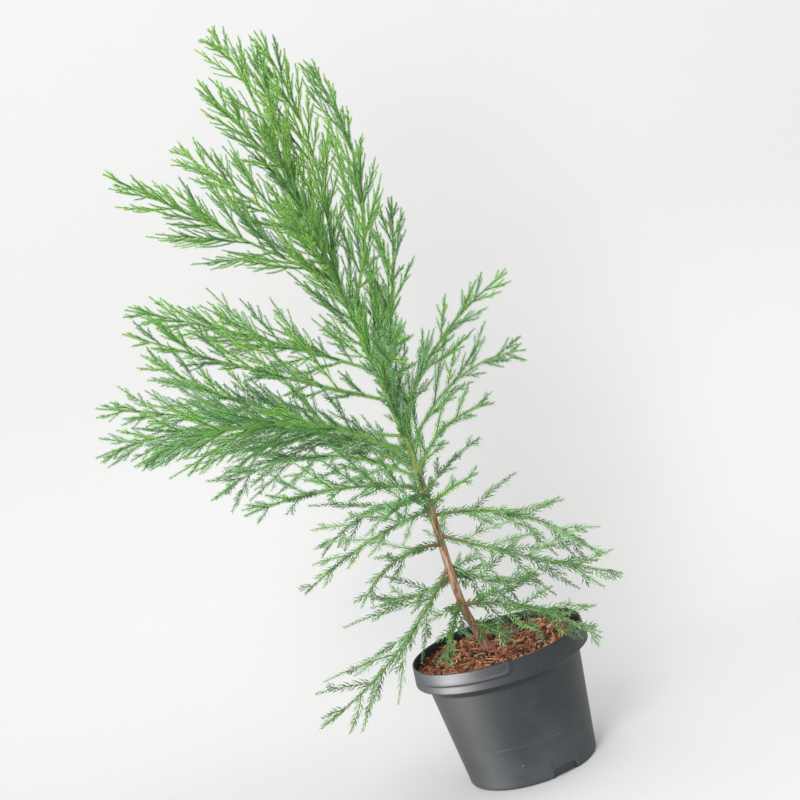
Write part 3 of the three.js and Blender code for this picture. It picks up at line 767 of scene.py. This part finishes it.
# Stems whose side shoots stand closer or wider apart
stepShare = {
    "left_2": 0.75, "front_1": 0.6, "low_1": 0.75, "clad": 0.55,
    "right_1": 0.62, "right_2": 0.68, "right_3": 0.85, "right_4": 0.85,
    "right_5": 1.15, "right_6": 1.15, "right_7": 1.15, "right_8": 1.15, "right_9": 1.15,
}
# Stems whose first side shoots, next to the trunk, are shorter
sideRoot = {"left_8": 0.3, "left_9": 0.3, "left_10": 0.25, "left_11": 0.22, "left_12": 0.6}

# Finer twigs on the side shoots
twigs = {
    "over": 0.75, "first": 0.12, "spread": 0.66, "placeLuck": (0.2, 0.8),  # shares of the side shoot
    "reach": 0.52, "reachEnd": 0.97, "least": 3, "most": 34, "luck": (0.55, 1.1),
    "ownerTurn": 1.7, "turnLoose": 0.3, "leaveLoose": 4, "forward": 0.7, "lift": 0.25,
    "foot": 0.48, "end": 0.32, "steps": 4,
    "yellowBelow": 320, "brownOdds": 0.3, "brownDraw": 8.0, "roughness": 0.7,
    "colours": {
        # the green twigs are darker than their own colour: painted shade that shows in the gaps between the
        # needles
        "twigs_green_painted_shade": (0.1, 0.2, 0.045),
        "twigs_yellow": (0.3, 0.38, 0.09),
        "twigs_brown": (0.24, 0.19, 0.08),
    },
}
stemRank, sideRank, twigRank = 1, 2, 3
spraysPerStem, ownSpray = 1000, 500  # numbers kept for a stem's sprays, and the one for its own needles
rising = 0.1  # a shoot whose direction rises more than this turns up to the light
nearby = 0.004  # share of a stem over which its direction is taken
oddWay = np.array([0.31, 0.17, 0.93])  # a direction that no shoot follows, to set others square to it


def grown(key, height):  # a growth value between the three heights
    return np.interp(height, growth["height"], growth[key])


# A shoot is a bent line from root by middle to tip; all shoots are kept as rows of arrays
def shootRows(root, middle, tip, **values):
    rows = {"root": root, "middle": middle, "tip": tip}
    for key, item in values.items():
        rows[key] = np.broadcast_to(item, (len(root),)).astype(float)
    return rows


def joinRows(parts):
    return {key: np.concatenate([part[key] for part in parts]) for key in parts[0]}


def pick(rows, mask):
    return {key: item[mask] for key, item in rows.items()}


def spreadOver(count):  # for things on shoots: the shoot each stands on, and its place in order there
    owner = np.repeat(np.arange(len(count)), count)
    return owner, np.arange(len(owner)) - np.repeat(np.cumsum(count) - count, count)


# A curve of the second order: points and directions at given shares, one row of shares to a shoot
def shootLine(rows, share):
    s = share[..., None]
    root, middle, tip = (rows[key][:, None] for key in ("root", "middle", "tip"))
    points = (1 - s) ** 2 * root + 2 * s * (1 - s) * middle + s ** 2 * tip
    return points, unit((1 - s) * (middle - root) + s * (tip - middle))


def turned(first, second, angle):  # the direction at an angle from the first one towards the second
    return first * np.cos(angle)[:, None] + second * np.sin(angle)[:, None]


def squareOff(tangent, beside, angle):  # the direction square to the tangent, at an angle round it from above
    return turned(np.cross(beside, tangent), beside, angle)


def bentShoot(root, start, finish, reach, **values):  # half the reach one way, half the other
    middle = root + start * reach[:, None] / 2
    tip = middle + finish * reach[:, None] / 2
    return shootRows(root, middle, tip, length=reach, startShare=0, endShare=1, **values)


# How far side shoots reach: most in the middle of a stem, more on its upper side, and never far past its tip
def sideReach(stem, share, turn, height, luck):
    name, length, bare = stem["name"], stem["length"], stem["bare"]
    above, below = sideShape.get(name, (1, 1))
    tilt = between(below, above, (1 + np.cos(turn)) / 2)
    tilt = tilt * (foliage["luckLeast"] + foliage["luckMore"] * luck)
    if name == "trunk":
        foot = np.where(np.cos(turn) < 0, foliage["footLeft"], foliage["footRight"])
        upper = np.where(share > foliage["trunkUpperFrom"], foliage["trunkUpper"], 1)
        return foliage["trunkReach"] * tilt * np.where(share < foliage["trunkLow"], foot, upper)
    if name in shortStems:
        return foliage[name + "Reach"] * tilt
    if name == "leader":
        reach = foliage["leaderReach"] * (1 - foliage["leaderTaper"] * share) * tilt
    else:
        longest = np.clip(length * foliage["sideShare"], foliage["sideShortest"], foliage["sideLongest"])
        rooted = smoothStep(bare, bare + foliage["fullBy"], share)
        full = between(sideRoot.get(name, foliage["rootReach"]), 1, rooted)
        full = full * (foliage["fullReach"] - sideTaper.get(name, foliage["taper"]) * share)
        reach = longest * full * tilt * (1 + grown("upperBias", height) * np.cos(turn))
    return np.minimum(reach, length * (1 - share) * foliage["tipReach"] + foliage["pastTip"])


def growSide(stem):  # side shoots stand spirally up the stem, leave it forwards and turn to the light
    name, number, bare = stem["name"], stem["number"], stem["bare"]
    height = stemPoint(stem, 0.5)[2]
    step = foliage["trunkStep"] if name in trunkStems else grown("sideStep", height)
    step = step * stepShare.get(name, 1)
    count = int(stem["length"] * (1 - bare) / step)
    index = np.arange(count)
    draw = foliage["seed"] + number
    share = bare + (foliage["last"] - bare) * (index + chance(draw, index)) / count
    root = stemPoint(stem, share)
    tangent = unit(stemPoint(stem, np.minimum(share + nearby, 1)) - stemPoint(stem, share - nearby))
    loose = foliage["turnLoose"] * chance(draw, index + foliage["turnDraw"])
    turn = np.radians(goldenTurn * index + loose + foliage["stemTurn"] * number)
    leave = between(grown("leaveRoot", height), grown("leaveTip", height), share)
    leave = leave * (foliage["cladLeave"] if name == "clad" else 1)
    leave = np.radians(leave + rng.normal(0, foliage["leaveLoose"], count))
    reach = sideReach(stem, share, turn, height, chance(draw, index + foliage["reachDraw"]))
    start = turned(tangent, squareOff(tangent, stem["beside"], turn), leave)
    lift = foliage["lift"] + foliage["upperLift"] * np.cos(turn)
    lift = np.where(tangent[:, 2] > rising, lift, foliage["hangingLift"])[:, None]
    sway = rng.normal(0, foliage["sway"], start.shape)
    finish = unit(start + foliage["forward"] * tangent + lift * upward + sway)
    return bentShoot(root, start, finish, reach, height=root[:, 2], rank=sideRank, foot=foliage["foot"],
                     end=foliage["end"], spray=number * spraysPerStem + index)


def growTwigs(rows):  # finer twigs, spiral along each side shoot, pressed forwards, shorter towards its tip
    count = (rows["length"] * twigs["over"] / grown("twigStep", rows["height"])).astype(int)
    owner, order = spreadOver(count)
    base = pick(rows, owner)
    place = order + rng.uniform(*twigs["placeLuck"], len(owner))
    share = twigs["first"] + twigs["spread"] * place / count[owner]
    root, tangent = (item[:, 0] for item in shootLine(base, share[:, None]))
    beside = unit(np.cross(tangent, upward))
    loose = rng.normal(0, twigs["turnLoose"], len(owner))
    turn = order * math.radians(goldenTurn) + owner * twigs["ownerTurn"] + loose
    leave = np.radians(grown("twigLeave", base["height"]) + rng.normal(0, twigs["leaveLoose"], len(owner)))
    reach = base["length"] * twigs["reach"] * (twigs["reachEnd"] - share) + twigs["least"]
    reach = np.minimum(reach, twigs["most"]) * rng.uniform(*twigs["luck"], len(owner))
    start = turned(tangent, squareOff(tangent, beside, turn), leave)
    lift = np.where(tangent[:, 2:] > rising, twigs["lift"], 0.0)
    finish = unit(start + twigs["forward"] * tangent + lift * upward)
    return bentShoot(root, start, finish, reach, height=base["height"], rank=twigRank, foot=twigs["foot"],
                     end=twigs["end"], spray=base["spray"])


def stemRows(stem):  # the stem itself as a run of short shoots, so that it carries needles too
    runs = max(foliage["fewestRuns"], int(stem["length"] / foliage["runLength"]))
    marks = np.linspace(foliage["needlesFrom"], 1, runs + 1)
    line = stemPoint(stem, marks)
    middle = stemPoint(stem, (marks[1:] + marks[:-1]) / 2) * 2 - (line[1:] + line[:-1]) / 2
    radius = stemRadius(stem, marks)
    tipShares = marks * (stem["name"] != "trunk")
    return shootRows(line[:-1], middle, line[1:], length=np.linalg.norm(np.diff(line, axis=0), axis=1),
                     startShare=tipShares[:-1], endShare=tipShares[1:], height=stemPoint(stem, 0.5)[2],
                     rank=stemRank, foot=radius[:-1], end=radius[1:],
                     spray=stem["number"] * spraysPerStem + ownSpray)


sideRows = joinRows([growSide(stem) for stem in stems])
twigRows = growTwigs(sideRows)
ownRows = joinRows([stemRows(stem) for stem in stems if stem["name"] not in shortStems])
allShoots = joinRows([ownRows, sideRows, twigRows])
print("shoots", len(sideRows["length"]), len(twigRows["length"]), "metres", allShoots["length"].sum() * mm)

# Limbs: each bough from the trunk to its tip and the top of the leader
limb = {
    "rows": 64, "sides": 12, "collar": 0.5, "collarLength": 5, "relief": 0.05, "reliefStretch": 2.2,
    "brown": ((0.35, (0.13, 0.07, 0.03)), (0.65, (0.33, 0.2, 0.1))),
    "green": ((0.35, (0.13, 0.24, 0.04)), (0.65, (0.27, 0.4, 0.09))),
    "greenFrom": 250, "greenBy": 420, "greenShare": 0.8,  # heights over which boughs lose their brown
}


def limbSurface(stem):  # a tapering tube with bark relief and a collar that dies away from the root
    share = np.linspace(0, 1, limb["rows"])
    angle = evenRound(limb["sides"])[None, :]
    along = share[:, None] * stem["length"]
    collar = 1 + (limb["collar"] * np.exp(-along / limb["collarLength"]) if stem["name"] != "leader" else 0)
    relief = 1 + limb["relief"] * barkRelief(angle, along * limb["reliefStretch"])
    radius = stemRadius(stem, share)[:, None] * collar * relief
    return tubeSurface(stemPoint(stem, share), radius, limb["sides"], stem["beside"])


def limbFinish():  # brown where the limb is old, green where it is young
    f = Finish("limbBark", 0.75)
    age = f.node("ShaderNodeAttribute", {"attribute_name": "age"}, output="Fac")
    strings = f.noise(420, 4)
    brown = f.ramp(strings, *limb["brown"])
    green = f.ramp(strings, *limb["green"])
    colour = f.mix(f.band(age + strings * 0.35, 0.8, 1.15), green, brown)
    return f.set(colour=colour, normal=f.bump(strings, 0.0004, 0.6))


limbStems = [stem for stem in stems if stem["name"] not in trunkStems]
limbPoints = np.stack([limbSurface(stem)[0] for stem in limbStems])
limbFaces = repeatFaces(limbSurface(limbStems[0])[1], limbPoints.shape[1], len(limbStems))
limbPiece = makePiece("boughs", limbPoints.reshape(-1, 3) * mm, limbFaces, limbFinish(),
                      [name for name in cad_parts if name.startswith("bough_")])
# Age from 1 at the root to 0 at the tip, less on high boughs
youth = limb["greenShare"] * smoothStep(limb["greenFrom"], limb["greenBy"], limbPoints[..., 2])
limbAge = np.repeat(np.linspace(1, 0, limb["rows"]), limb["sides"])[None] * (1 - youth)
ageLayer = limbPiece.data.attributes.new("age", "FLOAT", "POINT")
ageLayer.data.foreach_set("value", limbAge.astype(np.float32).ravel())


# Twigs: three-sided tubes along the shoots, closed at both ends
def twigSurface(rows):
    steps = twigs["steps"]
    marks = np.linspace(0, 1, steps + 1)
    line, tangent = shootLine(rows, np.broadcast_to(marks, (len(rows["root"]), steps + 1)))
    across = unit(np.cross(tangent, oddWay))
    beside = np.cross(tangent, across)
    angle = np.arange(3) * 2 * np.pi / 3
    circle = across[:, :, None] * np.cos(angle)[:, None] + beside[:, :, None] * np.sin(angle)[:, None]
    radius = between(rows["foot"][:, None], rows["end"][:, None], marks)
    points = line[:, :, None] + circle * radius[..., None, None]
    quads = gridFaces(steps + 1, 3)
    end = steps * 3
    caps = [[end, end + 1, end + 2], [2, 1, 0]]
    shape = np.concatenate([quads[:, [0, 1, 2]], quads[:, [0, 2, 3]], caps])
    return points.reshape(-1, 3), repeatFaces(shape, end + 3, len(line))


# Green above, darkened past the twigs' own green as painted shade that shows between the needles,
# yellow-green below, and some of the low side shoots brown
shootsOnly = joinRows([sideRows, twigRows])
isLow = shootsOnly["height"] < twigs["yellowBelow"]
isOld = chance(shootsOnly["spray"], twigs["brownDraw"]) < twigs["brownOdds"]
isBrown = isLow & (shootsOnly["rank"] == sideRank) & isOld
for (twigName, twigColour), chosen in zip(twigs["colours"].items(), (~isLow, isLow & ~isBrown, isBrown)):
    twigPoints, twigFaces = twigSurface(pick(shootsOnly, chosen))
    twigFinish = Finish(twigName, twigs["roughness"]).set(colour=twigColour)
    makePiece(twigName, twigPoints * mm, twigFaces, twigFinish)

# Needles, and their greens: colour, then odds for the low boughs, the middle and the top
needles = {
    "firstSeed": 60, "fewest": 3, "stemCrowd": 1.4, "twigLength": 0.88,  # more on stems, shorter on twigs
    "ownerTurn": 2.399, "turnLoose": 0.2, "spreadLoose": 4, "placeLuck": (0.1, 0.9),
    "luck": (0.75, 1.15), "widthLuck": (0.85, 1.15),
    "tipFrom": 0.35, "tipClosing": 0.2,  # near a shoot's tip they are shorter and closer to it
    "lowerSpread": 1.25, "upperSpread": 0.7, "belly": 0.38, "keel": 0.3, "rootedAt": 0.6,
    "sprayShare": 0.68, "shootShare": 0.32, "sprayDraw": 3.0,  # how far a green is the spray's or the shoot's
    "roughness": 0.5, "specular": 0.25,
    "greens": {
        "needles_lime": ((0.42, 0.74, 0.16), (0.0, 0.03, 0.32)),
        "needles_fresh": ((0.33, 0.66, 0.15), (0.0, 0.13, 0.27)),
        "needles_spring": ((0.24, 0.54, 0.13), (0.06, 0.22, 0.19)),
        "needles_leaf": ((0.16, 0.39, 0.12), (0.28, 0.13, 0.1)),
        "needles_deep": ((0.1, 0.26, 0.09), (0.28, 0.06, 0.05)),
        "needles_cool": ((0.29, 0.55, 0.26), (0.1, 0.28, 0.05)),
        "needles_mist": ((0.4, 0.62, 0.38), (0.02, 0.14, 0.02)),
        # the darkest green is painted shade: a shaded copy of the needles' green, dealt mostly to the low
        # boughs
        "needles_painted_shade": ((0.07, 0.18, 0.085), (0.26, 0.01, 0.0)),
    },
}


# Slim keeled spikes of four faces, widest and bent over a third of the way up, set spirally on the shoots
def needleSurface(rows, r):
    crowd = np.where(rows["rank"] == stemRank, needles["stemCrowd"], 1)
    perMm = grown("needlesPerMm", rows["height"]) * crowd
    count = np.maximum((rows["length"] * perMm).astype(int), needles["fewest"])
    owner, order = spreadOver(count)
    base = pick(rows, owner)
    height = base["height"]
    share = (order + r.uniform(*needles["placeLuck"], len(owner))) / count[owner]
    root, tangent = (item[:, 0] for item in shootLine(base, share[:, None]))
    loose = r.normal(0, needles["turnLoose"], len(owner))
    turn = order * math.radians(goldenTurn) + owner * needles["ownerTurn"] + loose
    outward = squareOff(tangent, unit(np.cross(tangent, oddWay)), turn)
    nearTip = smoothStep(needles["tipFrom"], 1.0, between(base["startShare"], base["endShare"], share))
    spread = grown("needleSpread", height) + r.normal(0, needles["spreadLoose"], len(owner))
    spread = np.radians(spread * (1 - needles["tipClosing"] * nearTip))
    length = grown("needleLength", height) * r.uniform(*needles["luck"], len(owner))
    length = length * between(1, grown("needleTip", height), nearTip)
    length = length * np.where(base["rank"] == twigRank, needles["twigLength"], 1.0)
    lower = turned(tangent, outward, spread * needles["lowerSpread"])
    upper = turned(tangent, outward, spread * needles["upperSpread"])
    root = root + outward * (between(base["foot"], base["end"], share) * needles["rootedAt"])[:, None]
    middle = root + lower * (length * needles["belly"])[:, None]
    tip = middle + upper * (length * (1 - needles["belly"]))[:, None]
    flat = unit(np.cross(lower, outward))
    ridge = np.cross(flat, lower)
    half = grown("needleWidth", height) / 2 * r.uniform(*needles["widthLuck"], len(owner))
    corners = np.array([[1.0, needles["keel"]], [-1.0, needles["keel"]]])
    wings = (flat[:, None] * corners[:, :1] + ridge[:, None] * corners[:, 1:]) * half[:, None, None]
    points = np.concatenate([root[:, None], middle[:, None] + wings, tip[:, None]], 1)
    shape = np.array([[0, 1, 2], [1, 3, 2], [0, 3, 1], [0, 2, 3]])
    return points.reshape(-1, 3), repeatFaces(shape, 4, len(owner))


# Greens dealt by spray: a draw, partly the spray's and partly the shoot's own, falls among the summed odds
def dealGreens(rows):
    odds = [np.interp(rows["height"], growth["height"], row) for green, row in needles["greens"].values()]
    draw = chance(rows["spray"], needles["sprayDraw"])[:, None] * needles["sprayShare"]
    draw = draw + rng.uniform(0, needles["shootShare"], (len(rows["height"]), 1))
    return np.minimum((draw > np.cumsum(np.stack(odds, -1), axis=1)).sum(1), len(odds) - 1)


greenOf = dealGreens(allShoots)
foliageNodes = [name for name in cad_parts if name.startswith("foliage_")]
total = 0
for number, needleName in enumerate(needles["greens"]):
    seeded = np.random.default_rng(needles["firstSeed"] + number)
    needlePoints, needleFaces = needleSurface(pick(allShoots, greenOf == number), seeded)
    look = Finish(needleName, needles["roughness"])
    needleFinish = look.set(colour=needles["greens"][needleName][0], specular=needles["specular"])
    replaced = foliageNodes if number == 0 else ()
    makePiece(needleName, needlePoints * mm, needleFaces, needleFinish, replaced, smooth=False)
    total += len(needleFaces)
print("needle triangles", total)

# Stage, in metres: a pale floor, and a backdrop that rises from it and shows only from its front
stage = {
    "near": -40.0, "far": 0.75, "behind": 40.0, "bendRadius": 0.5, "bendSteps": 16, "wide": 40.0, "tall": 3.0,
    "paper": (0.72, 0.719, 0.717),
}


def paperFinish():  # white paper whose back is clear
    f = Finish("floorPaper", 0.9)
    front = Value(f.tree, f.shader.outputs[0])
    clear = f.node("ShaderNodeBsdfTransparent")
    isBack = f.node("ShaderNodeNewGeometry", output="Backfacing")
    oneSided = f.node("ShaderNodeMixShader", {}, {0: isBack, 1: front, 2: clear})
    f.feed(f.tree.nodes["Material Output"].inputs["Surface"], oneSided)
    return f.set(colour=stage["paper"])


def addStage(name, line, finish):  # a line of y and z carried sideways
    side = np.array([-stage["wide"], stage["wide"]])
    points = np.stack(np.broadcast_arrays(side[None, :], line[:, :1], line[:, 1:]), -1)
    faces = gridFaces(len(line), 2, wrap=False)
    mesh = bpy.data.meshes.new(name)
    mesh.from_pydata(points.reshape(-1, 3).tolist(), [], faces.tolist())
    mesh.polygons.foreach_set("use_smooth", np.full(len(faces), True))
    mesh.materials.append(finish)
    item = bpy.data.objects.new(name, mesh)
    bpy.context.scene.collection.objects.link(item)


bendAt = stage["far"] - stage["bendRadius"]
bendAngle = np.linspace(-np.pi / 2, 0, stage["bendSteps"])
bendLine = stage["bendRadius"] * np.stack([np.cos(bendAngle), 1 + np.sin(bendAngle)], -1)
bendLine = bendLine + np.array([bendAt, 0])
frontLine = np.concatenate([[[stage["near"], 0]], bendLine, [[stage["far"], stage["tall"]]]])
paper = paperFinish()
addStage("floor", frontLine, paper)
addStage("floor_behind", np.array([[bendAt, 0], [stage["behind"], 0]]), paper)

# Soft light: place, aim and size in metres, power, width of the beam in degrees
crownAim, potAim = (-0.05, 0, 0.42), (0.0, 0, 0.05)
lights = {
    "key": ((-0.9, -2.6, 2.4), crownAim, 1.4, 58.0, 180),
    "front": ((-0.7, -2.6, 0.9), crownAim, 1.2, 19.0, 180),
    "side": ((-1.0, -0.36, 0.05), potAim, 0.8, 12.5, 70),
    "top": ((0.7, 0.1, 2.6), crownAim, 2.0, 19.0, 180),
}
worldStrength = 0.58
for lightName, (spot, aim, size, power, beam) in lights.items():
    lamp = bpy.data.lights.new(lightName, "AREA")
    lamp.shape, lamp.size, lamp.energy, lamp.spread = "DISK", size, power, math.radians(beam)
    item = bpy.data.objects.new(lightName, lamp)
    item.location = spot
    item.rotation_euler = (Vector(aim) - Vector(spot)).to_track_quat("-Z", "Y").to_euler()
    item.visible_camera = False
    item.visible_diffuse = lightName != "side"  # the side light gives only the sheen on the pot
    bpy.context.scene.collection.objects.link(item)

world = bpy.data.worlds.new("studio")
world.use_nodes = True
world.node_tree.nodes["Background"].inputs["Color"].default_value = (1, 1, 1, 1)
world.node_tree.nodes["Background"].inputs["Strength"].default_value = worldStrength
bpy.context.scene.world = world
bpy.context.scene.view_settings.view_transform = "Standard"

print("stage and light set")
